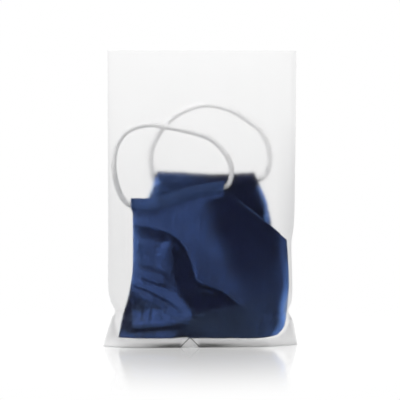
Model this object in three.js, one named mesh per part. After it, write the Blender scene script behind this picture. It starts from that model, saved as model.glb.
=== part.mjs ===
// A cloth face mask folded in half at its centre seam, standing inside an open glassine bag.
// Millimetres, +Z up. The front of the bag faces -Y, and the origin is on the floor under its middle.
// The mask's ear edges are up: each half ends in a hem that an elastic ear loop runs through.

import * as THREE from "three";

// Driving dimensions.
const filmWall = 0.4; // wall of the bag
const clothWall = 2.0; // two plies of cotton with their seam allowance
const seamGap = 0.3; // left between pieces that are welded, sewn or pressed together
const bagHeight = 237;
const pinchHeight = 26; // where the bottom gusset ends at the side seams
const gussetRise = 3.2; // height of the gusset's fold at mid width
const gussetCrease = 1.3; // 1 is a sharp tent, 2 a round arch
const panelFullness = 5; // how squarely a panel turns in to its side seams
const cordDiameter = 4.2;
const hemHeight = 10.8;
const hemDepth = 7.6;
const hemWall = 1.2;
const hemShare = 0.53; // of each half's top edge, the rest being the slope
const touchGap = 0.8; // from the bag to a hem that presses against it
const clothGap = 1.1; // and to a half, which has larger facets
const restingRecess = 7.4; // from the bag to cloth that lies behind it
const frontHemRecess = 1.6; // from the bag to the front half where it meets its hem
const backHemRecess = 4.6; // and to the back half
const undersideDrop = 2.9; // from the front half's lower edge down to the centre seam under it
const seamCurl = 0.9; // how far the seam allowance turns down at the centre seam
const sideRoll = 4; // how far each half stands off the seam beside its right edge
const hemSlant = 0.33; // how far the ends of the back hem lean in, for each unit of height

// The bag by height: its side edges, how far each panel stands out from the plane of the side seams at mid
// width, and how far the panels are parted at each side, which they are only at the feet.
const bagRows = [
  { height: 0, left: -78.5, right: 78.5, front: 24.5, back: 24.5, leftFoot: 17, rightFoot: 9 },
  { height: 10, left: -75.5, right: 76.8, front: 23.4, back: 22.6, leftFoot: 11.8, rightFoot: 6.2 },
  { height: 20, left: -72.2, right: 74.6, front: 21.8, back: 20.4, leftFoot: 5.6, rightFoot: 3 },
  { height: pinchHeight, left: -69.5, right: 71.5, front: 20.6, back: 19, leftFoot: 0, rightFoot: 0 },
  { height: 34, left: -72.9, right: 74.0, front: 19.4, back: 17.6, leftFoot: 0, rightFoot: 0 },
  { height: 44, left: -74.9, right: 74.7, front: 18.4, back: 16.4, leftFoot: 0, rightFoot: 0 },
  { height: 82, left: -74.9, right: 73.9, front: 16.2, back: 14, leftFoot: 0, rightFoot: 0 },
  { height: 98, left: -74.9, right: 75.8, front: 15.4, back: 13.4, leftFoot: 0, rightFoot: 0 },
  { height: 130, left: -74.9, right: 76.4, front: 14, back: 12.6, leftFoot: 0, rightFoot: 0 },
  { height: 180, left: -74.9, right: 76.9, front: 9, back: 8.4, leftFoot: 0, rightFoot: 0 },
  { height: bagHeight, left: -74.9, right: 77.1, front: 5, back: 5, leftFoot: 0, rightFoot: 0 },
];

// The hems' centrelines, seen from the front as [x, z] points on a smooth curve.
const frontHemRoute = [
  [-55.8, 113],
  [-40.7, 113.5],
  [-28.6, 115.6],
  [-12.5, 120.5],
  [3.6, 125.3],
  [18.5, 129],
];
const backHemRoute = [
  [-37.4, 133],
  [-13.4, 132],
  [4.5, 130.8],
  [20.8, 130.8],
  [38, 131.8],
  [46.2, 132.4],
];

// Each half's outline as four edges: the side edge, the two stretches of the centre seam, and the slope that
// runs from the hem down to the seam. Edges meet at their ends, and the hem's own lower edge is the fifth.
const frontOutline = {
  side: [[-65.7, 8.2], [-63.3, 21.9], [-59.3, 35.6], [-56.8, 46.8], [-54.6, 64.6], [-54.6, 107]],
  bottomSeam: [[-65.7, 8.2], [-40.8, 8.1], [-8.5, 8], [23.8, 8.1], [48, 7.8], [61.5, 9.6]],
  rightSeam: [[61.5, 9.6], [66.8, 15.4], [68.9, 25], [70.9, 40], [71.5, 52], [70.4, 72], [69.4, 84.5]],
  slope: [[18.5, 123.3], [24.5, 122.8], [31, 116.4], [50.4, 101], [69.4, 84.5]],
};
const backOutline = {
  side: [[-64, 6.4], [-60.5, 18], [-57.6, 30], [-53.3, 51.1], [-47.2, 91.7], [-44, 114], [-38.5, 129]],
  bottomSeam: [[-64, 6.4], [-40.8, 4.8], [-8.5, 4.5], [23.8, 4.6], [48, 5.5], [61.5, 8.8]],
  rightSeam: [[61.5, 8.8], [67.2, 21.3], [69, 35.3], [68, 63.6], [60.5, 83.7], [54.5, 98]],
  slope: [[48, 128.5], [52, 118], [54.6, 108], [54.5, 98]],
};

// The folds of the front half. Cloth stands forward by rise along its crest [x, z]. On the right-hand side of
// the crest's direction it drops away within steep. On the left-hand side it keeps level for flat, and then
// drops within gentle. Taper is the length in which the fold grows from nothing at its start and its end.
const folds = [
  {
    name: "swoop",
    crest: [[-58, 98.2], [-39.6, 95.7], [-27.6, 92.9], [-19.6, 88.9], [-13.2, 82.5], [-10.4, 75.7],
      [-7.6, 66.5], [-2.4, 53.7], [0.4, 50.2], [9.6, 47.7], [17.6, 44.9], [31, 36.6], [42, 35], [75, 32]],
    rise: 6.6,
    steep: 5,
    flat: 70,
    gentle: 20,
    taper: [0, 0],
  },
  {
    name: "band",
    crest: [[-60, 50.6], [-45.2, 48], [-35.6, 44], [-27.6, 39], [-19.6, 31], [-13, 24], [-10.8, 20.5]],
    rise: 5.6,
    steep: 5,
    flat: 5,
    gentle: 6,
    taper: [0, 0],
  },
  {
    name: "pillow",
    crest: [[-54, 17.4], [-42.4, 18.4], [-27.6, 20], [-11.6, 20.2]],
    rise: 6,
    steep: 4,
    flat: 3,
    gentle: 17,
    taper: [0, 0],
  },
  {
    name: "base",
    crest: [[75, 42], [42, 39], [34, 36.2], [23.6, 32.6], [5.6, 28.1], [-0.4, 26], [-6, 22], [-9, 4]],
    rise: 4.6,
    steep: 4,
    flat: 40,
    gentle: 14,
    taper: [0, 0],
  },
  {
    name: "base strip",
    crest: [[6, 14.5], [-24, 13.2], [-70, 11.8]],
    rise: 4.6,
    steep: 4,
    flat: 20,
    gentle: 6,
    taper: [0, 0],
  },
  {
    name: "cheek",
    crest: [[-35, 61], [-31.8, 71], [-28, 80], [-23, 90]],
    rise: 5.2,
    steep: 7,
    flat: 1,
    gentle: 6,
    taper: [14, 4],
  },
  {
    name: "side block",
    crest: [[-47, 57], [-45, 65], [-46, 74], [-48, 85], [-50, 97]],
    rise: 4.2,
    steep: 13,
    flat: 4,
    gentle: 10,
    taper: [9, 12],
  },
];

// Right of the swoop's ridge the front half falls back from the bag: where the ridge runs, how wide its
// shoulder is, and how far behind it the cloth lies, by height.
const ridgeRows = [
  { height: 8, x: 34, shoulder: 10, back: 0.5 },
  { height: 36, x: 33, shoulder: 4, back: 3.5 },
  { height: 46, x: 31.5, shoulder: 4, back: 4.4 },
  { height: 62, x: 24.5, shoulder: 4, back: 4.6 },
  { height: 86, x: 21.5, shoulder: 6, back: 4.6 },
  { height: 118, x: 12, shoulder: 8, back: 3.7 },
  { height: 140, x: 6, shoulder: 8, back: 3.4 },
];
const rightRimBack = 3; // how much further back the cloth lies beside the lower right seam

// The ear loops outside their hems, as [x, y, z].
const frontLoopRoute = [
  [-59.5, -6, 114.6],
  [-64.5, -3.6, 121],
  [-68.6, -1.4, 133],
  [-70, -0.4, 147],
  [-67.4, -0.4, 161],
  [-58.6, -1.4, 172.6],
  [-42.4, -2.8, 177.6],
  [-24.6, -3.6, 175.4],
  [-8.5, -4, 172],
  [6.1, -4.6, 167.4],
  [15.7, -5.6, 159.7],
  [21.6, -7, 149.3],
  [24.2, -8.6, 138.9],
  [22.6, -9.6, 132.4],
];
const backLoopRoute = [
  [-38.6, 6.8, 137.4],
  [-40.4, 5.8, 146],
  [-40.2, 5, 155.2],
  [-36.2, 4.4, 166],
  [-26.8, 4, 179.2],
  [-14.6, 3.6, 188.2],
  [-0.4, 3.4, 193],
  [9.7, 3.4, 193.3],
  [24, 3.6, 189.6],
  [36.2, 4, 182.4],
  [47.5, 4.4, 174],
  [53.2, 4.8, 165],
  [55.7, 5.2, 154.8],
  [55.5, 5.8, 144.6],
  [52.4, 6.2, 136.6],
];

const colours = { glassine: 0xf1f2f4, navyCotton: 0x1b2644, whiteElastic: 0xeeeeec };

const smooth = (low, high, value) => THREE.MathUtils.smoothstep(value, low, high);

// A column of bagRows at any height, by a cubic through the rows.
function bagAt(column, height) {
  const last = bagRows.length - 1;
  const slopeAt = (i) => {
    const below = bagRows[Math.max(i - 1, 0)];
    const above = bagRows[Math.min(i + 1, last)];
    return (above[column] - below[column]) / (above.height - below.height);
  };
  let i = 0;
  while (i < last - 1 && height > bagRows[i + 1].height) i += 1;
  const [low, high] = [bagRows[i], bagRows[i + 1]];
  const span = high.height - low.height;
  const t = THREE.MathUtils.clamp((height - low.height) / span, 0, 1);
  const start = low[column] * (1 + 2 * t) * (1 - t) ** 2 + span * slopeAt(i) * t * (1 - t) ** 2;
  const end = high[column] * (3 - 2 * t) * t ** 2 - span * slopeAt(i + 1) * t ** 2 * (1 - t);
  return start + end;
}

// Where x lies across the bag: -1 at its left edge, 1 at its right edge.
function acrossBag(x, height) {
  const left = bagAt("left", height);
  const right = bagAt("right", height);
  return THREE.MathUtils.clamp((2 * x - left - right) / (right - left), -1, 1);
}

// How far a panel's inner face stands out from the plane of the side seams. Face is "front" or "back".
function bagDepth(face, x, height) {
  const across = acrossBag(x, height);
  const leftFoot = Math.max(bagAt("leftFoot", height), 0);
  const rightFoot = Math.max(bagAt("rightFoot", height), 0);
  const parted = THREE.MathUtils.lerp(leftFoot, rightFoot, (across + 1) / 2);
  const middle = (leftFoot + rightFoot) / 2;
  return seamGap / 2 + parted + (bagAt(face, height) - middle) * (1 - Math.abs(across) ** panelFullness);
}

// One closed solid from a grid of outer points and the matching grid of inner points. A closed grid joins its
// last column to its first, as a sleeve does.
function wallSolid(outer, inner, closed = false) {
  const rows = outer.length;
  const columns = outer[0].length;
  const points = [...outer.flat(), ...inner.flat()];
  const at = (layer, row, column) => (layer * rows + row) * columns + (column % columns);
  const index = [];
  const quad = (a, b, c, d) => index.push(a, b, c, a, c, d);
  const lastColumn = closed ? columns : columns - 1;
  for (let row = 0; row < rows - 1; row += 1) {
    for (let column = 0; column < lastColumn; column += 1) {
      quad(at(0, row, column), at(0, row, column + 1), at(0, row + 1, column + 1), at(0, row + 1, column));
      quad(at(1, row, column), at(1, row + 1, column), at(1, row + 1, column + 1), at(1, row, column + 1));
    }
  }
  for (let column = 0; column < lastColumn; column += 1) {
    quad(at(0, 0, column + 1), at(0, 0, column), at(1, 0, column), at(1, 0, column + 1));
    const end = rows - 1;
    quad(at(0, end, column), at(0, end, column + 1), at(1, end, column + 1), at(1, end, column));
  }
  for (let row = 0; row < rows - 1 && !closed; row += 1) {
    quad(at(0, row, 0), at(0, row + 1, 0), at(1, row + 1, 0), at(1, row, 0));
    const side = columns - 1;
    quad(at(0, row + 1, side), at(0, row, side), at(1, row, side), at(1, row + 1, side));
  }
  let volume = 0;
  for (let i = 0; i < index.length; i += 3) {
    const [a, b, c] = [points[index[i]], points[index[i + 1]], points[index[i + 2]]];
    volume += a.dot(b.clone().cross(c)) / 6;
  }
  if (volume < 0) index.reverse();
  const geometry = new THREE.BufferGeometry().setFromPoints(points);
  geometry.setIndex(index);
  geometry.computeVertexNormals();
  return geometry;
}

// A smooth curve through [x, z] points, sampled evenly as count + 1 THREE.Vector2 of x and z.
function routePoints(route, count) {
  const curve = new THREE.SplineCurve(route.map(([x, z]) => new THREE.Vector2(x, z)));
  return curve.getSpacedPoints(count);
}

// Heights of the bag's grid rows: close together at the foot, where the bag turns.
function bagHeights() {
  const foot = [0, 3, 7, 12, 18, 23, pinchHeight, 29, 34, 40];
  const body = Array.from({ length: 11 }, (_, i) => THREE.MathUtils.lerp(48, bagHeight, i / 10));
  return [...foot, ...body];
}

function bagPanel(face) {
  const columns = 18;
  const side = face === "front" ? -1 : 1;
  const outer = [];
  const inner = [];
  for (const z of bagHeights()) {
    const outerRow = [];
    const innerRow = [];
    for (let i = 0; i <= columns; i += 1) {
      const across = Math.sin(((i / columns) * 2 - 1) * Math.PI / 2);
      const x = THREE.MathUtils.lerp(bagAt("left", z), bagAt("right", z), (across + 1) / 2);
      const depth = bagDepth(face, x, z);
      innerRow.push(new THREE.Vector3(x, side * depth, z));
      outerRow.push(new THREE.Vector3(x, side * (depth + filmWall), z));
    }
    inner.push(innerRow);
    outer.push(outerRow);
  }
  return wallSolid(outer, inner);
}

// The gusset: a shallow tent between the two panels' lower edges, whose fold climbs to the side seams.
function bagGusset() {
  const columns = 20;
  const rows = 10;
  const sideInset = 0.985;
  const upper = [];
  const lower = [];
  for (let j = 0; j <= rows; j += 1) {
    const across = (j / rows) * 2 - 1;
    const upperRow = [];
    const lowerRow = [];
    for (let i = 0; i <= columns; i += 1) {
      const along = Math.sin(((i / columns) * 2 - 1) * Math.PI / 2);
      const fold = THREE.MathUtils.lerp(gussetRise, pinchHeight - 2, Math.abs(along) ** 14);
      const z = filmWall + fold * (1 - Math.abs(across) ** gussetCrease);
      const middle = (bagAt("left", z) + bagAt("right", z)) / 2;
      const x = middle + ((bagAt("right", z) - bagAt("left", z)) / 2) * along * sideInset;
      const face = across < 0 ? "front" : "back";
      const reach = bagDepth(face, along * bagAt("right", 0), 0) - seamGap;
      upperRow.push(new THREE.Vector3(x, across * reach, z));
      lowerRow.push(new THREE.Vector3(x, across * reach, z - filmWall));
    }
    upper.push(upperRow);
    lower.push(lowerRow);
  }
  return wallSolid(upper, lower);
}

// How far the folds push the cloth forward at a point of the front half. Past a crest's end its two sides
// blend round into each other.
function foldRise(x, z) {
  let rise = 0;
  for (const fold of folds) {
    let nearest = Infinity;
    let toRight = 0;
    let along = 0;
    let walked = 0;
    for (let i = 0; i < fold.crest.length - 1; i += 1) {
      const [x0, z0] = fold.crest[i];
      const [x1, z1] = fold.crest[i + 1];
      const [dx, dz] = [x1 - x0, z1 - z0];
      const length = Math.hypot(dx, dz);
      const t = THREE.MathUtils.clamp(((x - x0) * dx + (z - z0) * dz) / length ** 2, 0, 1);
      const distance = Math.hypot(x - x0 - dx * t, z - z0 - dz * t);
      if (distance < nearest) {
        nearest = distance;
        toRight = (dz * (x - x0) - dx * (z - z0)) / (length * Math.max(distance, 1e-6));
        along = walked + t * length;
      }
      walked += length;
    }
    const steep = 1 - smooth(0, fold.steep, nearest);
    const gentle = 1 - smooth(0, fold.gentle, nearest - fold.flat);
    const [start, end] = fold.taper;
    const grown = (start ? smooth(0, start, along) : 1) * (end ? smooth(0, end, walked - along) : 1);
    const drop = THREE.MathUtils.lerp(gentle, steep, smooth(-0.6, 0.6, toRight));
    rise = Math.max(rise, fold.rise * drop * grown);
  }
  return rise;
}

// How far the cloth lies back right of the swoop's ridge.
function ridgeBack(x, z) {
  let i = 0;
  while (i < ridgeRows.length - 2 && z > ridgeRows[i + 1].height) i += 1;
  const [low, high] = [ridgeRows[i], ridgeRows[i + 1]];
  const t = THREE.MathUtils.clamp((z - low.height) / (high.height - low.height), 0, 1);
  const at = (column) => THREE.MathUtils.lerp(low[column], high[column], t);
  const behind = at("back") * smooth(-1, 1, (x - at("x")) / at("shoulder"));
  return behind + rightRimBack * smooth(48, 68, x) * (1 - smooth(66, 92, z));
}

// A Coons patch over an outline, whose top edge is the lower edge of the hem and then the slope. Its first
// underRows repeat the bottom edge, for cloth that turns under there, with under running from 1 down to 0.
function outlinePatch(outline, hemRoute, columns, rows, underRows) {
  const hemColumns = Math.round(columns * hemShare);
  const hemEdge = routePoints(hemRoute, hemColumns).map((p) => p.setY(p.y - hemHeight / 2 - seamGap));
  const top = [...hemEdge, ...routePoints(outline.slope, columns - hemColumns).slice(1)];
  const left = routePoints(outline.side, rows);
  left[rows] = top[0].clone();
  const bottom = routePoints(outline.bottomSeam, columns);
  const right = routePoints(outline.rightSeam, rows);
  const grid = [];
  for (let rowIndex = -underRows; rowIndex <= rows; rowIndex += 1) {
    const j = Math.max(rowIndex, 0);
    const v = j / rows;
    const under = Math.max(-rowIndex, 0) / Math.max(underRows, 1);
    const row = [];
    for (let i = 0; i <= columns; i += 1) {
      const u = i / columns;
      const blend = (axis) => {
        const upright = (1 - v) * bottom[i][axis] + v * top[i][axis];
        const sideways = (1 - u) * left[j][axis] + u * right[j][axis];
        const low = (1 - u) * bottom[0][axis] + u * bottom[columns][axis];
        const high = (1 - u) * top[0][axis] + u * top[columns][axis];
        return upright + sideways - (1 - v) * low - v * high;
      };
      row.push({ x: blend("x"), z: blend("y"), u, v, under });
    }
    grid.push(row);
  }
  return grid;
}

// One half of the mask as a wall that follows its bag panel, rises into folds, and turns in to the centre
// seam along the bottom and the right side. The front half stands against the bag down to its lower edge,
// and turns under there, back to the seam.
function maskHalf(face, outline, hemRoute, columns, rows) {
  const side = face === "front" ? -1 : 1;
  const underRows = face === "front" ? 3 : 0;
  const atSeam = seamGap / 2 + clothWall;
  const outerDepth = ({ x, z, u, v, under }) => {
    const film = bagDepth(face, x, z);
    const rise = face === "front" ? foldRise(x, z) - ridgeBack(x, z) : 2;
    const hemRecess = face === "front" ? frontHemRecess : backHemRecess;
    const nearHem = smooth(0.88, 1, v) * (1 - smooth(hemShare - 0.02, hemShare + 0.06, u));
    const recess = THREE.MathUtils.lerp(Math.max(restingRecess - rise, clothGap), hemRecess, nearHem);
    const roll = sideRoll * Math.sqrt(1 - THREE.MathUtils.clamp((u - 0.955) / 0.045, 0, 1) ** 2);
    const lower = face === "front" ? 1 : 1 - smooth(0.55, 0.75, v);
    const outer = Math.max(film - recess, atSeam + roll * lower);
    const turned = face === "front" ? under : 1 - smooth(0, 0.12, v);
    return THREE.MathUtils.lerp(Math.min(outer, film - clothGap), atSeam, turned);
  };
  const outer = [];
  const inner = [];
  for (const row of outlinePatch(outline, hemRoute, columns, rows, underRows)) {
    const outerRow = [];
    const innerRow = [];
    for (const point of row) {
      const { x, u, under } = point;
      const drop = undersideDrop * (1 - smooth(0.8, 1, u)) * smooth(0, 0.14, u);
      const z = point.z - drop * under - seamCurl * smooth(0.5, 1, under);
      const depth = Math.max(outerDepth({ ...point, z }), atSeam);
      const innerDepth = Math.max(depth - clothWall * 1.2, seamGap / 2);
      const lift = underRows > 0 && point.v === 0 ? clothWall * 0.8 * (1 - under ** 4) : 0;
      outerRow.push(new THREE.Vector3(x, side * depth, z));
      innerRow.push(new THREE.Vector3(x, side * innerDepth, z + lift));
    }
    outer.push(outerRow);
    inner.push(innerRow);
  }
  return wallSolid(outer, inner);
}

// The line that a hem and the cord in it follow, in space.
function hemLine(face, route, count) {
  const side = face === "front" ? -1 : 1;
  return routePoints(route, count).map(({ x, y: z }) => {
    const depth = bagDepth(face, x, z) - touchGap - hemDepth / 2;
    return new THREE.Vector3(x, side * depth, z);
  });
}

function hemSleeve(face, route) {
  const stations = 12;
  const sides = 12;
  const line = hemLine(face, route, stations);
  const ring = (station, height, depth) => {
    const before = line[Math.max(station - 1, 0)];
    const after = line[Math.min(station + 1, stations)];
    const along = after.clone().sub(before).normalize();
    const forward = new THREE.Vector3(0, 1, 0);
    const up = along.clone().cross(forward).normalize();
    const slant = face === "back" ? hemSlant * ((2 * station) / stations - 1) : 0;
    return Array.from({ length: sides }, (_, i) => {
      const angle = (i / sides) * 2 * Math.PI;
      const high = (Math.cos(angle) * height) / 2;
      return line[station]
        .clone()
        .addScaledVector(up, high)
        .addScaledVector(along, -high * slant)
        .addScaledVector(forward, (Math.sin(angle) * depth) / 2);
    });
  };
  const outer = line.map((_, i) => ring(i, hemHeight, hemDepth));
  const inner = line.map((_, i) => ring(i, hemHeight - 2 * hemWall, hemDepth - 2 * hemWall));
  return wallSolid(outer, inner, true);
}

// A whole ear loop: from the middle of its hem out of one end, round, and back in at the other end.
function earLoop(face, hemRoute, loopRoute) {
  const steps = 30;
  const hem = hemLine(face, hemRoute, 10);
  const loop = loopRoute.map(([x, y, z]) => new THREE.Vector3(x, y, z));
  const path = [...hem.slice(0, 5).reverse(), ...loop, ...hem.slice(6).reverse()];
  const curve = new THREE.CatmullRomCurve3(path, false, "centripetal");
  const section = new THREE.Shape();
  section.absarc(0, 0, cordDiameter / 2, 0, 2 * Math.PI, false);
  const options = { steps, curveSegments: 5, extrudePath: curve, bevelEnabled: false };
  return new THREE.ExtrudeGeometry(section, options);
}

const glassine = new THREE.MeshStandardMaterial({ color: colours.glassine, roughness: 0.45 });
glassine.transparent = true;
glassine.opacity = 0.35;
const cotton = new THREE.MeshStandardMaterial({ color: colours.navyCotton, roughness: 0.9 });
const elastic = new THREE.MeshStandardMaterial({ color: colours.whiteElastic, roughness: 0.8 });

const mask = new THREE.Group();
const addPiece = (name, geometry, material) => {
  const piece = new THREE.Mesh(geometry, material);
  piece.name = name;
  mask.add(piece);
};

addPiece("bag_front_panel", bagPanel("front"), glassine);
addPiece("bag_back_panel", bagPanel("back"), glassine);
addPiece("bag_gusset", bagGusset(), glassine);
addPiece("mask_front_half", maskHalf("front", frontOutline, frontHemRoute, 42, 34), cotton);
addPiece("mask_back_half", maskHalf("back", backOutline, backHemRoute, 20, 16), cotton);
addPiece("front_ear_hem", hemSleeve("front", frontHemRoute), cotton);
addPiece("back_ear_hem", hemSleeve("back", backHemRoute), cotton);
addPiece("front_ear_loop", earLoop("front", frontHemRoute, frontLoopRoute), elastic);
addPiece("back_ear_loop", earLoop("back", backHemRoute, backLoopRoute), elastic);

export default mask;
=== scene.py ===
"""A navy cloth face mask, folded in half at its centre seam and standing in an open glassine bag.

Metres, +Z up, the front of the bag facing -Y. Each section makes one piece, or a group of like pieces.
"""

import math

import bmesh
import bpy
import numpy as np
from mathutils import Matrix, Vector, noise


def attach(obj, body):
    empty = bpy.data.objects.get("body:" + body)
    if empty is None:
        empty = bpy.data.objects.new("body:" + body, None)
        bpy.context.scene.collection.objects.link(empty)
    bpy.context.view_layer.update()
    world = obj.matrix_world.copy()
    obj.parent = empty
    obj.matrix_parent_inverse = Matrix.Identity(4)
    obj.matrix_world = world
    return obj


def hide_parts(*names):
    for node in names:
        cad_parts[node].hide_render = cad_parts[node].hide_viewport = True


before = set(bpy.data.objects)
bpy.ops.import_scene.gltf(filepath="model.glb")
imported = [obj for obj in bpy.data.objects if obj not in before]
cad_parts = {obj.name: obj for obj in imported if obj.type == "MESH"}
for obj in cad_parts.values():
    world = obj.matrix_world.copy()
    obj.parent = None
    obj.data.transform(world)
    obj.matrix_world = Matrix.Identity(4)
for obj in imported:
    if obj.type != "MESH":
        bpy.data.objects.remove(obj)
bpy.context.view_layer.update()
mm = 0.001

# --- Camera ---------------------------------------------------------------------------------------------
# A long lens a little below the height of the bag's mouth, looking slightly down at the middle of the
# standing bag.

camera_distance = 1.3
camera_elevation = math.radians(4.0)
camera_target = Vector((-0.0004, 0, 0.1166))
view_width = 0.324

camera_data = bpy.data.cameras.new("camera")
camera_data.sensor_width = 36
camera_data.lens = camera_data.sensor_width * camera_distance / view_width
camera = bpy.data.objects.new("camera", camera_data)
bpy.context.scene.collection.objects.link(camera)
camera_offset = Vector((0, -math.cos(camera_elevation), math.sin(camera_elevation)))
camera.location = camera_target + camera_offset * camera_distance
camera.rotation_euler = (-camera_offset).to_track_quat("-Z", "Y").to_euler()
bpy.context.scene.camera = camera


# --- Elastic ear loops ----------------------------------------------------------------------------------
# Round braided white elastic, 4.2 mm thick. Each runs out of one end of its half's ear hem, round, and back
# in at the other end, and its ends are knotted inside the hem. The bag presses on the mask from both
# sides, so the hems' depth, and all else in the bag, is worked out from the bag's own form.

bag_columns = ("height", "left", "right", "front", "back", "left_foot", "right_foot")
bag_rows = np.array(
    [
        (0, -78.5, 78.5, 24.5, 24.5, 17, 9),
        (10, -75.5, 76.8, 23.4, 22.6, 11.8, 6.2),
        (20, -72.2, 74.6, 21.8, 20.4, 5.6, 3),
        (26, -69.5, 71.5, 20.6, 19, 0, 0),
        (34, -72.9, 74.0, 19.4, 17.6, 0, 0),
        (44, -74.9, 74.7, 18.4, 16.4, 0, 0),
        (82, -74.9, 73.9, 16.2, 14, 0, 0),
        (98, -74.9, 75.8, 15.4, 13.4, 0, 0),
        (130, -74.9, 76.4, 14, 12.6, 0, 0),
        (180, -74.9, 76.9, 9, 8.4, 0, 0),
        (237, -74.9, 77.1, 5, 5, 0, 0),
    ]
)
seam_half_gap = 0.15
panel_fullness = 5


def smoothstep(low, high, value):
    """Rises smoothly from 0 at low to 1 at high."""
    t = np.clip((np.asarray(value, float) - low) / (high - low), 0, 1)
    return t * t * (3 - 2 * t)


def bag_at(column, height):
    """A column of bag_rows at any height, in millimetres, by a cubic through the rows."""
    heights = bag_rows[:, 0]
    values = bag_rows[:, bag_columns.index(column)]
    before = np.maximum(np.arange(len(heights)) - 1, 0)
    after = np.minimum(np.arange(len(heights)) + 1, len(heights) - 1)
    slopes = (values[after] - values[before]) / (heights[after] - heights[before])
    low = np.clip(np.searchsorted(heights, height, side="left") - 1, 0, len(heights) - 2)
    span = heights[low + 1] - heights[low]
    t = np.clip((height - heights[low]) / span, 0, 1)
    start = values[low] * (1 + 2 * t) * (1 - t) ** 2 + span * slopes[low] * t * (1 - t) ** 2
    end = values[low + 1] * (3 - 2 * t) * t**2 - span * slopes[low + 1] * t**2 * (1 - t)
    return start + end


def bag_depth(face, x, height):
    """How far the inner face of the front or back panel stands out from the side seams' plane."""
    left = bag_at("left", height)
    right = bag_at("right", height)
    across = np.clip((2 * x - left - right) / (right - left), -1, 1)
    left_foot = np.maximum(bag_at("left_foot", height), 0)
    right_foot = np.maximum(bag_at("right_foot", height), 0)
    parted = left_foot + (right_foot - left_foot) * (across + 1) / 2
    bulge = bag_at(face, height) - (left_foot + right_foot) / 2
    return seam_half_gap + parted + bulge * (1 - np.abs(across) ** panel_fullness)


def even_route(points, count):
    """A smooth curve through the points, sampled at count + 1 evenly spaced places."""
    points = np.array(points, float)
    padded = np.vstack([points[0], points, points[-1]])
    fine = []
    for before, start, end, after in zip(padded, padded[1:], padded[2:], padded[3:]):
        for t in np.arange(0, 1, 0.02):
            bend = (end - before) * t + (2 * before - 5 * start + 4 * end - after) * t**2
            fine.append(start + (bend + (3 * start - before - 3 * end + after) * t**3) / 2)
    fine = np.array([*fine, points[-1]])
    walked = np.concatenate([[0], np.cumsum(np.linalg.norm(np.diff(fine, axis=0), axis=1))])
    places = np.linspace(0, walked[-1], count + 1)
    return np.column_stack([np.interp(places, walked, fine[:, i]) for i in range(fine.shape[1])])


touch_gap = 0.8
hem_height = 10.8
hem_depth = 7.6
facing = {"front": -1, "back": 1}
hem_routes = {
    "front": [(-55.8, 113.0), (-40.7, 113.5), (-28.6, 115.6), (-12.5, 120.5), (3.6, 124.9), (18.7, 127.6)],
    "back": [(-37.4, 133), (-13.4, 132), (4.5, 130.8), (20.8, 130.8), (38, 131.8), (46.2, 132.4)],
}


def hem_line(face, count):
    """The line that a hem and the elastic in it follow, as rows of x, y and z in millimetres."""
    route = even_route(hem_routes[face], count)
    depth = bag_depth(face, route[:, 0], route[:, 1]) - touch_gap - hem_depth / 2
    return np.column_stack([route[:, 0], facing[face] * depth, route[:, 1]])


loop_diameter = 4.2 * mm
loop_steps = 150
loop_routes = {
    "front": [
        (-59.5, -6, 114.6),
        (-64.5, -3.6, 121),
        (-68.6, -1.4, 133),
        (-70, -0.4, 147),
        (-67.4, -0.4, 161),
        (-58.6, -1.4, 172.6),
        (-42.4, -2.8, 177.6),
        (-24.6, -3.6, 175.4),
        (-8.5, -4, 172),
        (6.1, -4.6, 167.4),
        (15.7, -5.6, 159.7),
        (22.8, -7, 150),
        (24.9, -8.6, 140),
        (23.9, -9.7, 132.8),
        (21.9, -10.2, 129.2),
    ],
    "back": [
        (-38.6, 6.8, 137.4),
        (-40.4, 5.8, 146),
        (-40.2, 5, 155.2),
        (-36.2, 4.4, 166),
        (-26.8, 4, 179.2),
        (-14.6, 3.6, 188.2),
        (-0.4, 3.4, 193),
        (9.7, 3.4, 193.3),
        (24, 3.6, 189.6),
        (36.2, 4, 182.4),
        (47.5, 4.4, 174),
        (53.2, 4.8, 165),
        (55.7, 5.2, 154.8),
        (55.5, 5.8, 144.6),
        (52.4, 6.2, 136.6),
    ],
}


class Shading:
    """The nodes of a material or of the world: one method adds any node, and Amounts add the maths."""

    def __init__(self, holder):
        holder.use_nodes = True
        self.nodes = holder.node_tree.nodes
        self.links = holder.node_tree.links
        self.nodes.clear()

    def plug(self, socket, value):
        """Links a socket to an amount or to another node's output, or sets its constant."""
        if isinstance(value, Amount):
            value = value.socket
        if isinstance(value, bpy.types.NodeSocket):
            self.links.new(value, socket)
        else:
            socket.default_value = value

    def node(self, kind, settings=None, inputs=None):
        made = self.nodes.new(kind)
        for name, value in (settings or {}).items():
            setattr(made, name, value)
        for name, value in (inputs or {}).items():
            self.plug(made.inputs[name], value)
        return made

    def amount(self, kind, settings=None, inputs=None, output=0):
        return Amount(self, self.node(kind, settings, inputs).outputs[output])

    def blend(self, factor, low, high):
        """A colour between low and high."""
        made = self.node("ShaderNodeMix", {"data_type": "RGBA"})
        sockets = {socket.name: socket for socket in made.inputs if socket.enabled}
        self.plug(sockets["Factor"], factor)
        self.plug(sockets["A"], low)
        self.plug(sockets["B"], high)
        return [socket for socket in made.outputs if socket.enabled][0]


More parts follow.
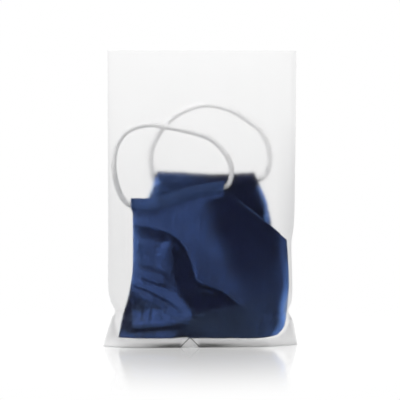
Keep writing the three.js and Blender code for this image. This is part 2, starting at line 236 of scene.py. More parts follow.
class Amount:
    """A number that varies over a surface or a direction."""

    def __init__(self, shading, socket):
        self.shading = shading
        self.socket = socket

    def maths(self, operation, *values):
        settings = {"operation": operation}
        return self.shading.amount("ShaderNodeMath", settings, dict(enumerate(values)))

    def __add__(self, other):
        return self.maths("ADD", self, other)

    def __sub__(self, other):
        return self.maths("SUBTRACT", self, other)

    def __mul__(self, other):
        return self.maths("MULTIPLY", self, other)

    def __rsub__(self, other):
        return self.maths("SUBTRACT", other, self)

    __radd__ = __add__
    __rmul__ = __mul__

    def sine(self):
        return self.maths("SINE", self)

    def size(self):
        return self.maths("ABSOLUTE", self)

    def step(self, low, high):
        """Rises smoothly from 0 at low to 1 at high."""
        settings = {"interpolation_type": "SMOOTHSTEP"}
        inputs = {"Value": self, "From Min": low, "From Max": high}
        return self.shading.amount("ShaderNodeMapRange", settings, inputs)


def new_material(name):
    material = bpy.data.materials.new(name)
    return material, Shading(material)


def surface(shading, inputs):
    """Ends a material in one Principled shader."""
    shader = shading.node("ShaderNodeBsdfPrincipled", inputs=inputs)
    shading.node("ShaderNodeOutputMaterial", inputs={"Surface": shader.outputs[0]})


braid_along = 625  # waves of the yarns along a whole loop
braid_around = 8  # and once round it


def elastic_finish(name, painted_lightness):
    """White polyester sheath over rubber: two sets of yarns that cross in a fine diamond braid."""
    material, shading = new_material(name)
    wound = shading.node("ShaderNodeUVMap", {"uv_map": "UVMap"}).outputs[0]
    split = shading.node("ShaderNodeSeparateXYZ", inputs={0: wound})
    along = Amount(shading, split.outputs[0]) * (2 * math.pi * braid_along)
    around = Amount(shading, split.outputs[1]) * (2 * math.pi * braid_around)
    braid = (along + around).sine() * (along - around).sine()
    spot = shading.node("ShaderNodeTexCoord").outputs["Object"]
    grime = shading.amount("ShaderNodeTexNoise", inputs={"Vector": spot, "Scale": 90.0, "Detail": 3.0})
    height = Amount(shading, shading.node("ShaderNodeSeparateXYZ", inputs={0: spot}).outputs[2])
    # Painted shade: the elastic is darkened in its lower part, near the hems, where the cloth shades it.
    painted_shade_near_hem = 1 - height.step(0.126, 0.150)
    shade = braid * 0.2 + grime * 0.2 + painted_shade_near_hem * 0.6 + 0.06
    # The darker colour carries the braid, random grime and the painted shade near the hems.
    colour = shading.blend(shade, (painted_lightness, painted_lightness, painted_lightness, 1), (painted_lightness * 0.5, painted_lightness * 0.51, painted_lightness * 0.52, 1))
    bump = shading.node("ShaderNodeBump", inputs={"Strength": 0.5, "Distance": 0.15 * mm, "Height": braid})
    inputs = {
        "Base Color": colour,
        "Normal": bump.outputs[0],
        "Roughness": 0.75,
        "Subsurface Weight": 1.0,
        "Subsurface Radius": (1.0, 1.0, 1.0),
        "Subsurface Scale": 12 * mm,
    }
    surface(shading, inputs)
    return material


def make_ear_loop(face, finish):
    """Elastic from the middle of the hem out of its left end, round, and back in at its right end."""
    stations = 10
    middle = stations // 2
    hem = hem_line(face, stations)
    route = np.vstack([hem[middle - 1 :: -1], loop_routes[face], hem[:middle:-1]])
    path = even_route(route, loop_steps) * mm
    curve = bpy.data.curves.new(face + "_ear_loop_line", "CURVE")
    curve.dimensions = "3D"
    curve.bevel_depth = loop_diameter / 2
    curve.bevel_resolution = 3
    curve.use_fill_caps = True
    spline = curve.splines.new("POLY")
    spline.points.add(len(path) - 1)
    spline.use_smooth = True
    for point, place in zip(spline.points, path):
        point.co = (*place, 1)
    loop = bpy.data.objects.new(face + "_elastic_loop", curve)
    bpy.context.scene.collection.objects.link(loop)
    curve.materials.append(finish)
    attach(loop, "root")
    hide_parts(face + "_ear_loop")


# Both loops are the same white elastic. The front one is painted darker than the back one, which is painted
# shade.
elastic_painted_lightness = {"front": 0.70, "back": 0.84}
for face in facing:
    make_ear_loop(face, elastic_finish("white_elastic_" + face, elastic_painted_lightness[face]))


# --- Bag panels -----------------------------------------------------------------------------------------
# The front and back of the bag are plain frosted glassine film, welded together down both sides. The
# film is clear where cloth presses on it and blurs what stands away from it. Below the pinch the panels
# part into two feet, and the front one has a small tuck where the gusset's fold pulls it in.

film = 0.14 * mm
bag_height = bag_rows[-1, 0]
panel_size = (0.157, 0.237)
tuck_place = -8.4
tuck_reach = 8.2
tuck_depth = 6


def make_sheet(name, columns, rows, place, cut):
    """A mesh grid, whose place(u, v) gives x, y and z in millimetres and whose UVs are in metres."""
    bm = bmesh.new()
    bmesh.ops.create_grid(bm, x_segments=columns, y_segments=rows, size=0.5)
    flat = np.array([vert.co[:2] for vert in bm.verts]) + 0.5
    places = np.column_stack(place(flat[:, 0], flat[:, 1])) * mm
    layer = bm.loops.layers.uv.new("UVMap")
    for face in bm.faces:
        face.smooth = True
        for loop in face.loops:
            loop[layer].uv = flat[loop.vert.index] * cut
    for vert, spot in zip(bm.verts, places):
        vert.co = spot
    return finish_mesh(name, bm)


def finish_mesh(name, bm):
    mesh = bpy.data.meshes.new(name)
    bm.to_mesh(mesh)
    bm.free()
    piece = bpy.data.objects.new(name, mesh)
    bpy.context.scene.collection.objects.link(piece)
    return piece


def turn_out(piece):
    """Turns the faces of a sheet that was laid out the other way round."""
    bm = bmesh.new()
    bm.from_mesh(piece.data)
    bmesh.ops.reverse_faces(bm, faces=bm.faces)
    bm.to_mesh(piece.data)
    bm.free()


def give_wall(piece, thickness):
    """Thickens a sheet inwards, so that its outer face stays where it was laid."""
    wall = piece.modifiers.new("wall", "SOLIDIFY")
    wall.thickness = thickness
    wall.offset = -1
    wall.use_quality_normals = True


def dress(piece, material, node):
    """Gives a piece its finish, hangs it under the root body, and hides the imported part of the node it
    stands for.
    """
    piece.data.materials.append(material)
    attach(piece, "root")
    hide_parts(node)


def tuck_painted_shade(x, z):
    """Painted shade and reflection: how far the front panel is greyed along the tuck's two creases, at its
    foot and lower edge.
    """
    right_of_tuck = x - tuck_place * mm
    from_tuck = right_of_tuck.size()
    from_crease = (from_tuck + z - tuck_reach * mm).size()
    in_tuck = 1 - z.step(tuck_reach * mm, (tuck_reach + 1) * mm)
    creases = (1 - from_crease.step(0.2 * mm, 1.0 * mm)) * in_tuck
    beside = from_tuck.step(5 * mm, 9 * mm)
    above_foot = from_tuck * 0.085 - right_of_tuck * 0.035 + z
    painted_foot_shade = (1 - above_foot.step(1.0 * mm, 10.0 * mm)) * (beside * 0.4 + 0.1)
    near_tuck = 1 - from_tuck.step(12 * mm, 46 * mm)
    painted_lower_edge_shade = (1 - z.step(1.8 * mm, 4.8 * mm)) * beside * near_tuck
    return creases * 0.9 + painted_foot_shade + painted_lower_edge_shade * 0.62


def glassine_finish(name, tuck_shade_painted):
    """Frosted film: light passes through it, spread a few degrees by its matt surface."""
    material, shading = new_material(name)
    spot = shading.node("ShaderNodeTexCoord").outputs["Object"]
    split = shading.node("ShaderNodeSeparateXYZ", inputs={0: spot})
    x = Amount(shading, split.outputs[0])
    z = Amount(shading, split.outputs[2])
    fibres = shading.amount("ShaderNodeTexNoise", inputs={"Vector": spot, "Scale": 60.0, "Detail": 4.0})
    drawn = shading.node("ShaderNodeMapping", inputs={"Vector": spot, "Scale": (1.0, 1.0, 0.12)})
    inputs = {"Vector": drawn.outputs[0], "Scale": 70.0, "Detail": 2.0}
    waves = shading.amount("ShaderNodeTexNoise", inputs=inputs)
    # The film is greyest a little above its foot and paler towards the top, varied by fibre and wave noise,
    # and greyer on the welds.
    above_foot = z.step(0.0, 0.014) * 0.5 + 0.5
    greyness = above_foot - z.step(0.065, 0.235) + fibres * 0.2 + waves * 0.4 - 0.3
    welds = x.size().step(0.0725, 0.0735) * 0.3
    colour = shading.blend(greyness * 0.8 + 0.2 + welds, (0.952, 0.952, 0.952, 1), (0.873, 0.873, 0.874, 1))
    # Greyer near the right side, between about 20 and 200 mm up.
    grey_near_right_side = x.step(0.060, 0.075) * (1 - z.step(0.09, 0.20)) * z.step(0.02, 0.05)
    colour = shading.blend(grey_near_right_side * 0.5, colour, (0.75, 0.75, 0.755, 1))
    if tuck_shade_painted:
        # Painted shade: the tuck's creases, foot and lower edge are greyed towards a dark grey.
        colour = shading.blend(tuck_painted_shade(x, z), colour, (0.20, 0.20, 0.20, 1))
    bump = shading.node("ShaderNodeBump", inputs={"Strength": 0.15, "Distance": 0.2 * mm, "Height": fibres})
    inputs = {
        "Base Color": colour,
        "Roughness": 0.59,
        "IOR": 1.10,
        "Transmission Weight": 1.0,
        "Normal": bump.outputs[0],
    }
    surface(shading, inputs)
    return material


def place_panel(face):
    """One panel just outside the bag's inner face, its points closer together towards the welds."""

    def place(u, v):
        z = bag_height * v
        across = np.sin((u * 2 - 1) * math.pi / 2)
        left = bag_at("left", z)
        right = bag_at("right", z)
        x = left + (right - left) * (across + 1) / 2
        depth = bag_depth(face, x, z) + film / mm
        if face == "front":
            spread = (np.abs(x - tuck_place) + z) / tuck_reach
            depth = depth - tuck_depth * np.clip(1 - spread, 0, 1)
        return x, facing[face] * depth, z

    return place


glassine = {face: glassine_finish("glassine_" + face, face == "front") for face in facing}
for face in facing:
    panel = make_sheet("glassine_" + face + "_panel", 160, 200, place_panel(face), panel_size)
    if face == "back":
        turn_out(panel)
    give_wall(panel, film)
    dress(panel, glassine[face], "bag_" + face + "_panel")


# --- Bag gusset -----------------------------------------------------------------------------------------
# A third piece of the same film, folded up between the lower edges of the two panels. The mask's weight
# presses its fold almost flat in the middle, and at the sides the fold climbs to where the seams begin.

gusset_rise = 3.2
gusset_top = 24
gusset_crease = 1.3
gusset_climb = 14
gusset_span = 0.985
gusset_gap = 0.3
gusset_size = (0.157, 0.060)


def place_gusset(u, v):
    """The film from the front panel's lower edge up over the fold and down to the back one's."""
    along = np.sin((u * 2 - 1) * math.pi / 2)
    across = v * 2 - 1
    fold = gusset_rise + (gusset_top - gusset_rise) * np.abs(along) ** gusset_climb
    z = film / mm + fold * (1 - np.abs(across) ** gusset_crease)
    left = bag_at("left", z)
    right = bag_at("right", z)
    x = (left + right) / 2 + (right - left) / 2 * along * gusset_span
    x_foot = along * bag_at("right", 0.0)
    reach = np.where(across < 0, bag_depth("front", x_foot, 0.0), bag_depth("back", x_foot, 0.0))
    return x, across * (reach - gusset_gap), z


gusset = make_sheet("glassine_gusset", 110, 40, place_gusset, gusset_size)
give_wall(gusset, film)
dress(gusset, glassine["back"], "bag_gusset")


# --- Mask halves ----------------------------------------------------------------------------------------
# Each half is two plies of navy cotton, cut with a bowed centre edge along which the halves are sewn
# together. Folded flat, the seam lies along the bottom and up the right side. The front half has crumpled
# against the bag: a swooping fold, two pleats under it, and a pillow of cloth at the lower left.

cloth = 1.2
hem_share = 0.53
outlines = {
    "front": {
        "side": [(-66.0, 7.0), (-63.3, 21.9), (-59.3, 35.6), (-56.8, 46.8), (-54.6, 64.6), (-54.6, 107)],
        "bottom_seam": [(-66.0, 7.0), (-40.8, 6.8), (-8.5, 7.0), (23.8, 7.0), (48, 6.8), (61.5, 8.6)],
        "right_seam": [
            (61.5, 8.6),
            (67.4, 14.6),
            (70.0, 25),
            (71.4, 40),
            (71.8, 52),
            (70.8, 72),
            (69.9, 84.5),
        ],
        "slope": [(18.5, 123.3), (24.5, 122.8), (31, 116.4), (50.4, 101), (69.4, 84.5)],
    },
    "back": {
        "side": [
            (-64, 6.4),
            (-60.5, 18),
            (-57.6, 30),
            (-53.3, 51.1),
            (-47.2, 91.7),
            (-44, 114),
            (-38.5, 129),
        ],
        "bottom_seam": [(-64, 6.4), (-40.8, 4.8), (-8.5, 4.5), (23.8, 4.6), (48, 5.5), (61.5, 8.8)],
        "right_seam": [(61.5, 8.8), (67.2, 21.3), (69, 35.3), (68, 63.6), (60.5, 83.7), (54.5, 98)],
        "slope": [(48, 128.5), (51.6, 121), (54.4, 113.5), (55.2, 106), (54.5, 98)],
    },
}

# Each fold's crest, as x and z, and how far the cloth stands forward along it. On the right-hand side of
# its direction the cloth rolls over and drops within steep. On the left it keeps level for flat, then
# falls away within gentle. A taper is the length in which a fold grows from nothing at its two ends.
folds = [
    {
        "name": "swoop",
        "rise": 5.2,
        "steep": 2.4,
        "flat": 70,
        "gentle": 20,
        "taper": (0, 0),
        "crest": [
            (-58, 98.2),
            (-42.8, 95.6),
            (-27.2, 92.2),
            (-18.8, 88.2),
            (-13.0, 82.2),
            (-9.2, 75.4),
            (-6.2, 66.5),
            (-4.2, 60.2),
            (-2.2, 53.9),
            (0.6, 50.4),
            (9.6, 47.9),
            (17.6, 44.9),
            (25.6, 38.9),
            (31.0, 34.6),
            (42, 33),
            (75, 30),
        ],
    },
    {
        "name": "side",
        "rise": 4.6,
        "steep": 9,
        "flat": 70,
        "gentle": 10,
        "taper": (0, 0),
        "crest": [
            (-16.2, 18),
            (-15.9, 26),
            (-18.0, 33),
            (-22.6, 41),
            (-26.4, 49.2),
            (-28.2, 57),
            (-28.8, 70),
            (-29.4, 79),
            (-31, 86),
        ],
    },
    {
        "name": "band",
        "rise": 5.4,
        "steep": 1.6,
        "flat": 6.5,
        "gentle": 6,
        "taper": (0, 0),
        "crest": [
            (-60, 49.8),
            (-55.7, 49.1),
            (-45.9, 46.6),
            (-36.7, 42.2),
            (-24.5, 35.6),
            (-17.4, 29.2),
            (-13.8, 23.6),
            (-13.6, 19.4),
        ],
    },
    {
        "name": "pillow",
        "rise": 5.7,
        "steep": 2.0,
        "flat": 8,
        "gentle": 14,
        "taper": (0, 0),
        "crest": [(-54, 17.6), (-42.4, 18.2), (-27.6, 19.2), (-17.0, 19.6)],
    },
    {
        "name": "base",
        "rise": 5.6,
        "steep": 1.6,
        "flat": 60,
        "gentle": 14,
        "taper": (0, 0),
        "crest": [
            (75, 38),
            (42, 36),
            (36, 33.8),
            (29.6, 32.0),
            (23.6, 31.0),
            (14.8, 29.6),
            (5.6, 27.8),
            (-0.4, 26.2),
            (-5, 23.6),
            (-8.4, 17.5),
            (-9, 4),
        ],
    },
    {
        "name": "cheek",
        "rise": 6.5,
        "steep": 5,
        "flat": 3.0,
        "gentle": 2.4,
        "taper": (9, 6),
        "crest": [(-33.4, 63.5), (-31.8, 70), (-28.6, 78.5), (-24.4, 88)],
    },
    {
        "name": "top of the wedge",
        "rise": 3.4,
        "steep": 5,
        "flat": 0,
        "gentle": 6,
        "taper": (4, 7),
        "crest": [(-31, 88), (-25, 84.6), (-19, 79), (-15, 72)],
    },
    {
        "name": "edge of the side",
        "rise": 6.2,
        "steep": 2.6,
        "flat": 0.4,
        "gentle": 2.2,
        "taper": (7, 7),
        "crest": [(-51.6, 70), (-50.6, 78), (-50.9, 89)],
    },
    {
        "name": "wedge wrinkle",
        "rise": 4.8,
        "steep": 2.2,
        "flat": 0,
        "gentle": 3.6,
        "taper": (5, 5),
        "crest": [(-5, 41.5), (-1, 44.2), (4, 44.6), (10, 42), (13, 38.5)],
    },
    {
        "name": "hem of the base",
        "rise": 6.8,
        "steep": 1.4,
        "flat": 0.2,
        "gentle": 2.0,
        "taper": (6, 6),
        "crest": [(-15, 9.6), (-8, 11.4), (-2, 13.0), (3, 12.8), (10, 10.6)],
    },
]
crests = {fold["name"]: fold["crest"] for fold in folds}
creases = [  # depth, half the width, and the line that it follows
    (2.0, 1.8, [(-50, 54.4), (-45.9, 53.4), (-39.8, 50.9), (-33.7, 48.7), (-24.5, 47.2)]),
    (1.3, 1.4, [(-58, 49.0), (-45.9, 45.6), (-36.7, 41.2), (-24.5, 34.6), (-13.6, 25.4)]),
    (2.3, 6.5, [(-56, 93.0), (-48, 91.8), (-38, 89.4), (-30.4, 87.4), (-25, 83)]),
    (1.2, 3.4, [(-52, 64.6), (-47, 63.1), (-36.7, 60.7), (-29.4, 57.6), (-23.3, 50.8)]),
    (1.6, 1.4, [(-20.5, 72.8), (-17, 74.0), (-13.4, 73.6)]),
    (1.8, 2.8, [(-60.6, 44), (-57.0, 30), (-55.4, 20), (-56.8, 12)]),
    (2.6, 2.6, [(-60, 12.2), (-46, 12.8), (-28, 14.6), (-14, 15.6), (-9.4, 17.0)]),
    (1.7, 7.5, [(-60, 46), (-54, 38), (-50, 31), (-46, 26)]),
    (1.3, 2.0, [(-46.4, 31), (-46.9, 24), (-47.2, 18.0)]),
    (1.4, 1.6, [(-39.4, 32), (-39.9, 24), (-40.2, 19)]),
    (1.0, 1.4, [(-31.4, 29), (-31.9, 24), (-32.2, 20)]),
    (1.4, 1.4, [(-52.2, 27), (-52.9, 22), (-53.2, 17)]),
    (0.9, 3.0, [(-52, 38), (-42, 34.0), (-30, 28.5), (-22, 25)]),
    (1.0, 8.0, [(-26, 24), (-14, 21)]),
]
crease_taper = (4, 4)
resting_recess = 7.4


def nearest_on(crest, x, z):
    """How far each x, z is from a crest, how much to its right, how far along, and the crest's length."""
    crest = np.array(crest, float)
    nearest = np.full_like(x, np.inf)
    to_right = np.zeros_like(x)
    along = np.zeros_like(x)
    walked = 0
    for (x0, z0), (x1, z1) in zip(crest, crest[1:]):
        dx, dz = x1 - x0, z1 - z0
        length = math.hypot(dx, dz)
        t = np.clip(((x - x0) * dx + (z - z0) * dz) / length**2, 0, 1)
        distance = np.hypot(x - x0 - dx * t, z - z0 - dz * t)
        lean = (dz * (x - x0) - dx * (z - z0)) / (length * np.maximum(distance, 1e-6))
        closer = distance < nearest
        to_right = np.where(closer, lean, to_right)
        along = np.where(closer, walked + t * length, along)
        nearest = np.minimum(distance, nearest)
        walked += length
    return nearest, to_right, along, walked


def taper(along, length, ends):
    """1 along the middle of a fold or crease, and 0 at ends that fade out."""
    share = np.ones_like(along)
    if ends[0]:
        share = share * smoothstep(0, ends[0], along)
    if ends[1]:
        share = share * smoothstep(0, ends[1], length - along)
    return share


def fold_rise(x, z):
    """How far the folds push the cloth forward. Past a crest's end its two sides blend round."""
    rise = np.zeros_like(x)
    for fold in folds:
        nearest, to_right, along, length = nearest_on(fold["crest"], x, z)
        right = smoothstep(-0.6, 0.6, to_right)
        rolled = np.sqrt(1 - np.clip(nearest / fold["steep"], 0, 1) ** 2)
        eased = 1 - smoothstep(0, fold["gentle"], nearest - fold["flat"])
        share = taper(along, length, fold["taper"])
        rise = np.maximum(rise, fold["rise"] * (eased + (rolled - eased) * right) * share)
    beside_pillow = (1 - smoothstep(-60, -53.5, x)) * (1 - smoothstep(34, 46, z)) * smoothstep(10, 16, z)
    rise = rise * (1 - 0.65 * beside_pillow)
    for depth, width, line in creases:
        nearest, _, along, length = nearest_on(line, x, z)
        share = taper(along, length, crease_taper)
        rise = rise - depth * share * (1 - smoothstep(0, width, nearest))
    return rise


ridge = np.array(
    [  # height, where its middle lies, half its width, and how far back the cloth falls
        (8, 34, 10, 0.0),
        (34, 33, 7, 0.3),
        (46, 31, 6, 0.7),
        (58, 24.5, 11, 1.4),
        (70, 21.5, 13, 2.2),
        (82, 17.5, 13, 3.4),
        (94, 12.0, 14, 3.8),
        (106, 9.0, 14, 3.8),
        (118, 9.0, 10, 3.8),
        (140, 8, 8, 3.6),
    ]
)


def shaded_side(x, z):
    """How far the cloth falls back from the film right of the ridge, by the seam and beside the swoop."""
    middle, reach, back = (np.interp(z, ridge[:, 0], column) for column in ridge.T[1:])
    right_of_ridge = back * smoothstep(0, 1, (x - middle + reach) / (2 * reach))
    by_seam = 0.8 * smoothstep(52, 68, x) * (1 - smoothstep(66, 92, z))
    beside_swoop = 0.8 * smoothstep(-8, 4, x) * (1 - smoothstep(62, 80, z)) * smoothstep(32, 40, z)
    return right_of_ridge + by_seam + beside_swoop


def outline_patch(face, columns, rows):
    """The half's outline filled by a Coons patch, as a function from u and v to x and z."""
    outline = outlines[face]
    hem_columns = round(columns * hem_share)
    hem_edge = even_route(hem_routes[face], hem_columns) - (0, hem_height / 2 - 2)
    top = np.vstack([hem_edge, even_route(outline["slope"], columns - hem_columns)[1:]])
    bottom = even_route(outline["bottom_seam"], columns)
    left = even_route(outline["side"], rows)
    left[-1] = top[0]
    right = even_route(outline["right_seam"], rows)

    def patch(u, v):
        i = np.rint(u * columns).astype(int)
        across = v * rows
        j = np.floor(across).astype(int).clip(0, rows - 1)
        part = (across - j)[:, None]
        u, v = u[:, None], v[:, None]
        left_edge = left[j] + (left[j + 1] - left[j]) * part
        right_edge = right[j] + (right[j + 1] - right[j]) * part
        upright = (1 - v) * bottom[i] + v * top[i]
        sideways = (1 - u) * left_edge + u * right_edge
        low = (1 - u) * bottom[0] + u * bottom[-1]
        high = (1 - u) * top[0] + u * top[-1]
        return (upright + sideways - (1 - v) * low - v * high).T

    return patch


def crumple(x, z, size, seed):
    """Soft irregular creases, from -1 to 1, size millimetres apart."""
    spots = np.column_stack([x / size, z / size, np.full_like(x, seed)])
    return np.array([noise.noise(Vector(spot)) for spot in spots])


underside = 0.07
front_width = 125
back_width = 105
slope_recess = 3.0
back_hem_recess = 5.5
side_turn = 0.045
side_fullness = 4.0


def rolled_back(distance, reach):
    """How far cloth has turned away at a distance from its edge, from 1 at the edge to 0 past reach."""
    t = 1 - np.clip(distance / reach, 0, 1)
    return 1 - np.sqrt(1 - t * t)


def under_hem(u):
    """1 along the part of a half's top edge that the hem covers, and 0 past it."""
    return 1 - smoothstep(hem_share - 0.02, hem_share + 0.03, u)


def front_form(patch, u, v):
    """The front half's x and z, how far behind the film it lies, and how far it is turned to the seam."""
    x, z = patch(u, np.clip((v - underside) / (1 - underside), 0, 1))
    rise = fold_rise(x, z) - shaded_side(x, z)
    rise = rise + 0.5 * crumple(x, z, 14, 1.5) + 0.25 * crumple(x * 1.8, z * 0.5, 7, 4.5)
    recess = np.maximum(resting_recess - rise, touch_gap)
    hem_recess = 2.6 + 0.5 * (1 - smoothstep(0.13, 0.2, u))
    recess = recess + (hem_recess - recess) * smoothstep(0.945, 0.985, v) * under_hem(u)
    at_slope = smoothstep(0.975, 1, v) * smoothstep(0.56, 0.7, u)
    recess = recess + (slope_recess - recess) * at_slope
    recess = recess + 1.5 * rolled_back(u * front_width, 1.5)
    turned = 1 - np.clip(v / underside, 0, 1)
    sag = 2.0 * (1 - smoothstep(0.8, 1, u)) * smoothstep(0, 0.14, u)
    z = z - sag * turned - 0.9 * smoothstep(0.5, 1, turned)
    return x, z, recess, turned


def back_form(patch, u, v):
    """The same for the back half, which lies flatter, and whose free sides roll back from the film."""
    x, z = patch(u, v)
    rise = 2 + 1.2 * crumple(x * 1.5, z * 0.3, 13, 7.5) + 0.3 * crumple(x, z, 9, 3.5)
    recess = np.maximum(resting_recess - rise, touch_gap)
    recess = recess + (back_hem_recess - recess) * smoothstep(0.93, 1, v) * under_hem(u)
    rolled = rolled_back(u * back_width, 4.5) + rolled_back((1 - u) * back_width, 5)
    recess = recess + 4 * rolled * smoothstep(0.5, 0.65, v)
    turned = 1 - smoothstep(0, 0.12, v)
    return x, z, recess, turned


def place_half(face, columns, rows):
    """A half between the film and the plane of the seams, which it meets at its bottom and right seam."""
    patch = outline_patch(face, columns, rows)

    def place(u, v):
        x, z, recess, turned = front_form(patch, u, v) if face == "front" else back_form(patch, u, v)
        at_seam = cloth + 0.1
        past_turn = np.clip((u - 1 + side_turn) / side_turn, 0, 1)
        at_side = at_seam + side_fullness * np.sqrt(1 - past_turn**2)
        film_depth = bag_depth(face, x, z)
        outer = np.minimum(np.maximum(film_depth - recess, at_side), film_depth - touch_gap)
        if face == "back":
            free = smoothstep(0.55, 0.75, v)
            outer = outer + (film_depth - recess - outer) * free
        depth = at_seam + (outer - at_seam) * (1 - turned)
        return x, facing[face] * np.maximum(depth, at_seam), z

    return place


def points_of(piece):
    """A piece's points, as rows of their x, y and z in millimetres."""
    places = np.empty(len(piece.data.vertices) * 3)
    piece.data.vertices.foreach_get("co", places)
    return places.reshape(-1, 3).T / mm


def note(piece, name, values):
    """Keeps a value for each point, under a name that the cloth's finish reads."""
    layer = piece.data.attributes.new(name, "FLOAT", "POINT")
    layer.data.foreach_set("value", values)


# The cloth's light and shade are painted into its colour: the values below are kept on its points as
# painted light.
def against_film(face, x, y, z):
    """1 where cloth lies against the film, falling to 0 where it stands 6 mm behind it."""
    return 1 - smoothstep(0.5, 6.2, bag_depth(face, x, z) - facing[face] * y)


def back_painted_light(x):
    """Painted light on the back half's upper part: pale at its left, and painted shade to the right, where
    the front half shades it.
    """
    return 0.55 * (1 - smoothstep(-26, 24, x))


def front_painted_light(x, y, z):
    """Painted light on the front half: pale where it lies against the film, painted shade on the base fold
    and below, a painted highlight on the cheek, paler at the low right.
    """
    from_base, above_base = nearest_on(crests["base"], x, z)[:2]
    on_base = 1 - smoothstep(1.0, 2.6, from_base * np.sign(above_base))
    pillow_end = 0.55 * smoothstep(-24, -12, x) * (1 - smoothstep(20, 27, z))
    shaded = (0.56 - 0.24 * smoothstep(28, 60, x)) * np.maximum(on_base, pillow_end)
    # Painted highlight along the cheek fold's crest.
    cheek = 0.16 * (1 - smoothstep(0, 4, nearest_on(crests["cheek"], x, z)[0]))
    painted_light = against_film("front", x, y, z) * (1 - shaded) + cheek
    # Painted light: the low right is painted paler.
    painted_light_low_right = smoothstep(40, 62, x) * smoothstep(8, 20, z) * (1 - smoothstep(46, 84, z))
    return np.maximum(painted_light, painted_light_low_right * (0.46 + 0.16 * smoothstep(54, 64, x)))


def back_glow(x):
    """A faint glow of light through the back half's left part."""
    return 0.06 * (1 - smoothstep(-10, 14, x))


def painted_backlight_places(face, x, z):
    """Painted backlight on a half: how strongly it is painted light blue, most at its free edges, as if
    light came through where its plies lie thin.
    """
    outline = outlines[face]
    right_edge = outline["right_seam"] + outline["slope"][::-1][1:]
    from_left = nearest_on(even_route(outline["side"], 60), x, z)[0]
    from_right = nearest_on(even_route(right_edge, 60), x, z)[0]
    if face == "back":
        rims = np.maximum(1.9 * np.exp(-from_left / 3), 1 - smoothstep(0, 4, from_right))
        return np.maximum(rims, back_glow(x)) * smoothstep(90, 105, z)
    left_rim = 0.55 * np.exp(-from_left / 3.2) * smoothstep(30, 80, z) * (1 - smoothstep(96, 110, z))
    lowest = np.exp(-(((z - 30) / 14) ** 2))
    right_rim = (0.6 + 0.95 * lowest) * (1 - smoothstep(0, 5.5 + 4 * lowest, from_right))
    return np.maximum(left_rim, right_rim * (1 - smoothstep(55, 78, z)))


weave_pitch = 0.7 * mm


def cotton_finish():
    """Navy poplin: warp and weft yarns a third of a millimetre apart, with a few thicker ones."""
    material, shading = new_material("navy_cotton")
    weave = shading.node("ShaderNodeUVMap", {"uv_map": "UVMap"}).outputs[0]
    split = shading.node("ShaderNodeSeparateXYZ", inputs={0: weave})
    turns = 2 * math.pi / weave_pitch
    warp = (Amount(shading, split.outputs[0]) * turns).sine()
    weft = (Amount(shading, split.outputs[1]) * turns).sine()

    def yarns(across, along):
        inputs = {"Vector": weave, "Scale": (across, along, 1.0)}
        stretched = shading.node("ShaderNodeMapping", inputs=inputs)
        inputs = {"Vector": stretched.outputs[0], "Scale": 1.0, "Detail": 2.0}
        return shading.amount("ShaderNodeTexNoise", inputs=inputs)

    slubs = yarns(900.0, 40.0)
    picks = yarns(30.0, 900.0)
    spot = shading.node("ShaderNodeTexCoord").outputs["Object"]
    spot_height = Amount(shading, shading.node("ShaderNodeSeparateXYZ", inputs={0: spot}).outputs[2])
    worn = shading.amount("ShaderNodeTexNoise", inputs={"Vector": spot, "Scale": 45.0, "Detail": 3.0})
    # Painted light and shade: the point value read here paints cloth near the film pale and recessed cloth
    # dark, over the yarns' own variation.
    painted_light = shading.amount("ShaderNodeAttribute", {"attribute_name": "painted_light"}, output=2)
    thread = slubs * 0.8 + picks * 0.3 + worn * 0.35 + warp * weft * 0.12 - 0.525
    shade = painted_light * 1.9 + thread * 1.8 - 0.15
    # Painted reflection: the middle tone is greyer on the cloth's lowest 20 to 50 mm, where the film
    # reflects the pale table.
    upper = spot_height.step(0.02, 0.05)
    middle = shading.blend(upper, (0.012, 0.021, 0.043, 1), (0.011, 0.021, 0.062, 1))
    deep = shading.blend(shade, (0.0006, 0.0024, 0.022, 1), middle)
    navy = shading.blend(shade - 1, deep, (0.030, 0.060, 0.18, 1))
    # Painted backlight: the edges are painted a light, glowing blue over the navy.
    painted_backlight = shading.amount("ShaderNodeAttribute", {"attribute_name": "painted_backlight"}, output=2)
    glow = shading.blend(painted_backlight - 1, (0.13, 0.27, 0.68, 1), (0.52, 0.64, 0.82, 1))
    colour = shading.blend(painted_backlight, navy, glow)
    height = warp * weft * 0.5 + slubs * 0.8 + picks * 0.6
    bump = shading.node("ShaderNodeBump", inputs={"Strength": 0.6, "Distance": 0.12 * mm, "Height": height})
    inputs = {
        "Base Color": colour,
        "Roughness": 0.85,
        "Sheen Weight": 0.5,
        "Sheen Roughness": 0.2,
        "Sheen Tint": (0.25, 0.5, 1.0, 1),
        "Specular IOR Level": 0.1,
        "Normal": bump.outputs[0],
    }
    surface(shading, inputs)
    return material


cotton = cotton_finish()
half_cut = {"front": (0.150, 0.130), "back": (0.150, 0.135)}
half_grid = {"front": (200, 190), "back": (120, 110)}
for face, (columns, rows) in half_grid.items():
    name = "cotton_" + face + "_half"
    half = make_sheet(name, columns, rows, place_half(face, columns, rows), half_cut[face])
    if face == "back":
        turn_out(half)
    x, y, z = points_of(half)
    note(half, "painted_light", front_painted_light(x, y, z) if face == "front" else back_painted_light(x))
    note(half, "painted_backlight", painted_backlight_places(face, x, z))
    give_wall(half, cloth * mm)
    dress(half, cotton, "mask_" + face + "_half")


# --- Ear hems -------------------------------------------------------------------------------------------
# The ear edge of each half is turned over and sewn into a sleeve that the elastic slides in. Its cloth is
# gathered a little along it, and it lies flattened where the bag presses on it.

hem_grid = (90, 28)
hem_cut = (0.077, 0.030)
hem_flatness = 0.86


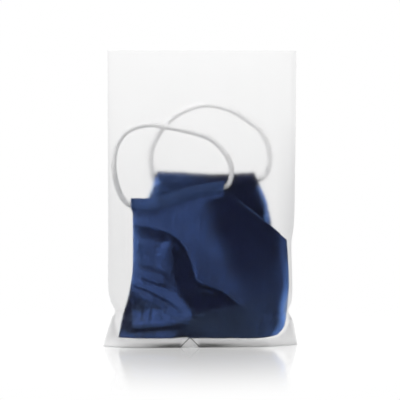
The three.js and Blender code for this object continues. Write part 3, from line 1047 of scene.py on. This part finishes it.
def make_hem(face):
    """A closed sleeve round the hem's line, flattened, and cut off aslant at its ends."""
    stations, sides = hem_grid
    line = hem_line(face, stations)
    ahead = np.gradient(line, axis=0)
    ahead /= np.linalg.norm(ahead, axis=1)[:, None]
    forward = np.array([0, 1.0, 0])
    up = np.cross(ahead, forward)
    up /= np.linalg.norm(up, axis=1)[:, None]

    def place(u, v):
        i = np.rint(u * stations).astype(int)
        angle = 2 * math.pi * v
        gather = 1 + 0.012 * np.sin(u * 70 + 2 * np.cos(angle)) + 0.015 * np.sin(u * 31)
        high = np.cos(angle) * hem_height / 2 * gather
        flat = np.sign(np.sin(angle)) * np.abs(np.sin(angle)) ** 0.5
        deep = flat * hem_depth / 2 * hem_flatness * gather
        if face == "front":
            narrow = 0.62 + 0.38 * smoothstep(0, 0.17, u)
            high = np.where(high < 0, high * narrow, high)
            slant = 0.2 * high * u**2
        else:
            high = np.where(high > 0, high * 1.2, high)
            slant = -0.33 * high * (2 * u - 1)
        sideways = ahead[i] * slant[:, None]
        return (line[i] + sideways + up[i] * high[:, None] + forward * deep[:, None]).T

    hem = make_sheet("cotton_" + face + "_ear_hem", stations, sides, place, hem_cut)
    bm = bmesh.new()
    bm.from_mesh(hem.data)
    bmesh.ops.remove_doubles(bm, verts=bm.verts, dist=0.01 * mm)
    bmesh.ops.recalc_face_normals(bm, faces=bm.faces)
    bm.to_mesh(hem.data)
    bm.free()
    return hem


def front_hem_painted_light(x, y, z):
    """Painted light on the front hem: palest near its left end, with painted shade darkening it to the
    right.
    """
    share = 0.46 + 0.18 * smoothstep(-56, -47, x)
    share = share - 0.24 * smoothstep(-42, -28, x) - 0.14 * smoothstep(-24, -8, x)
    return against_film("front", x, y, z) * share


def back_hem_painted_backlight(x, z):
    """Painted backlight on the back hem, strongest at its left end."""
    from_end = nearest_on(even_route(outlines["back"]["side"], 60), x, z)[0]
    return np.maximum(1.5 * (1 - smoothstep(1.5, 8, from_end)), back_glow(x))


for face in facing:
    hem = make_hem(face)
    x, y, z = points_of(hem)
    if face == "front":
        note(hem, "painted_light", front_hem_painted_light(x, y, z))
        # A faint painted backlight over the whole front hem.
        note(hem, "painted_backlight", np.full_like(x, 0.09))
    else:
        note(hem, "painted_light", back_painted_light(x))
        note(hem, "painted_backlight", back_hem_painted_backlight(x, z))
    give_wall(hem, cloth * mm)
    dress(hem, cotton, face + "_ear_hem")


# --- Floor and light ------------------------------------------------------------------------------------
# A pale glossy table that runs into a white surround, lit softly from the left and from behind.


floor_glow = 0.40
lamp_strength = 2.45
back_strength = 0.8
strength_all_round = 0.35


def seen_straight(shading):
    """1 for what is seen with nothing but film in the way, 0 for light on its way to the object."""
    path = shading.node("ShaderNodeLightPath")
    bounces = Amount(shading, path.outputs["Diffuse Depth"]) + Amount(shading, path.outputs["Glossy Depth"])
    return bounces.maths("LESS_THAN", bounces, 0.5)


def floor_finish():
    material, shading = new_material("white_table")
    spot = shading.node("ShaderNodeTexCoord").outputs["Object"]
    away = shading.amount("ShaderNodeVectorMath", {"operation": "LENGTH"}, {0: spot}, output="Value")
    fade = (1 - away.step(0.03, 0.24)) * 0.5
    straight = seen_straight(shading)
    brightness = straight + (1 - straight) * floor_glow
    glow = shading.node("ShaderNodeEmission", inputs={"Color": (1, 1, 1, 1), "Strength": brightness})
    gloss = shading.node("ShaderNodeBsdfGlossy", inputs={"Color": (1, 1, 1, 1), "Roughness": 0.12})
    inputs = {0: fade, 1: glow.outputs[0], 2: gloss.outputs[0]}
    mixed = shading.node("ShaderNodeMixShader", inputs=inputs)
    shading.node("ShaderNodeOutputMaterial", inputs={"Surface": mixed.outputs[0]})
    return material


bm = bmesh.new()
bmesh.ops.create_grid(bm, x_segments=1, y_segments=1, size=3)
floor = finish_mesh("floor", bm)
floor.data.materials.append(floor_finish())

# Light falls on the object from a broad soft source above, a little to the left and in front, from behind,
# and faintly from all round. What is seen straight, or through the film, is the white surround.
lamp_direction = Vector((-0.40, -0.50, 0.77)).normalized()
world = bpy.data.worlds.new("studio")
bpy.context.scene.world = world
shading = Shading(world)
towards = shading.node("ShaderNodeTexCoord").outputs["Generated"]
inputs = {0: towards, 1: lamp_direction}
lamp = shading.amount("ShaderNodeVectorMath", {"operation": "DOT_PRODUCT"}, inputs, output="Value")
split = shading.node("ShaderNodeSeparateXYZ", inputs={0: towards})
behind = Amount(shading, split.outputs["Y"]).step(-0.2, 0.9)
around = lamp.step(0.3, 1.0) * lamp_strength + behind * back_strength + strength_all_round
straight = seen_straight(shading)
strength = straight + (1 - straight) * around
background = shading.node("ShaderNodeBackground", inputs={"Color": (1, 1, 1, 1), "Strength": strength})
shading.node("ShaderNodeOutputWorld", inputs={"Surface": background.outputs[0]})

bpy.context.scene.view_settings.view_transform = "Standard"
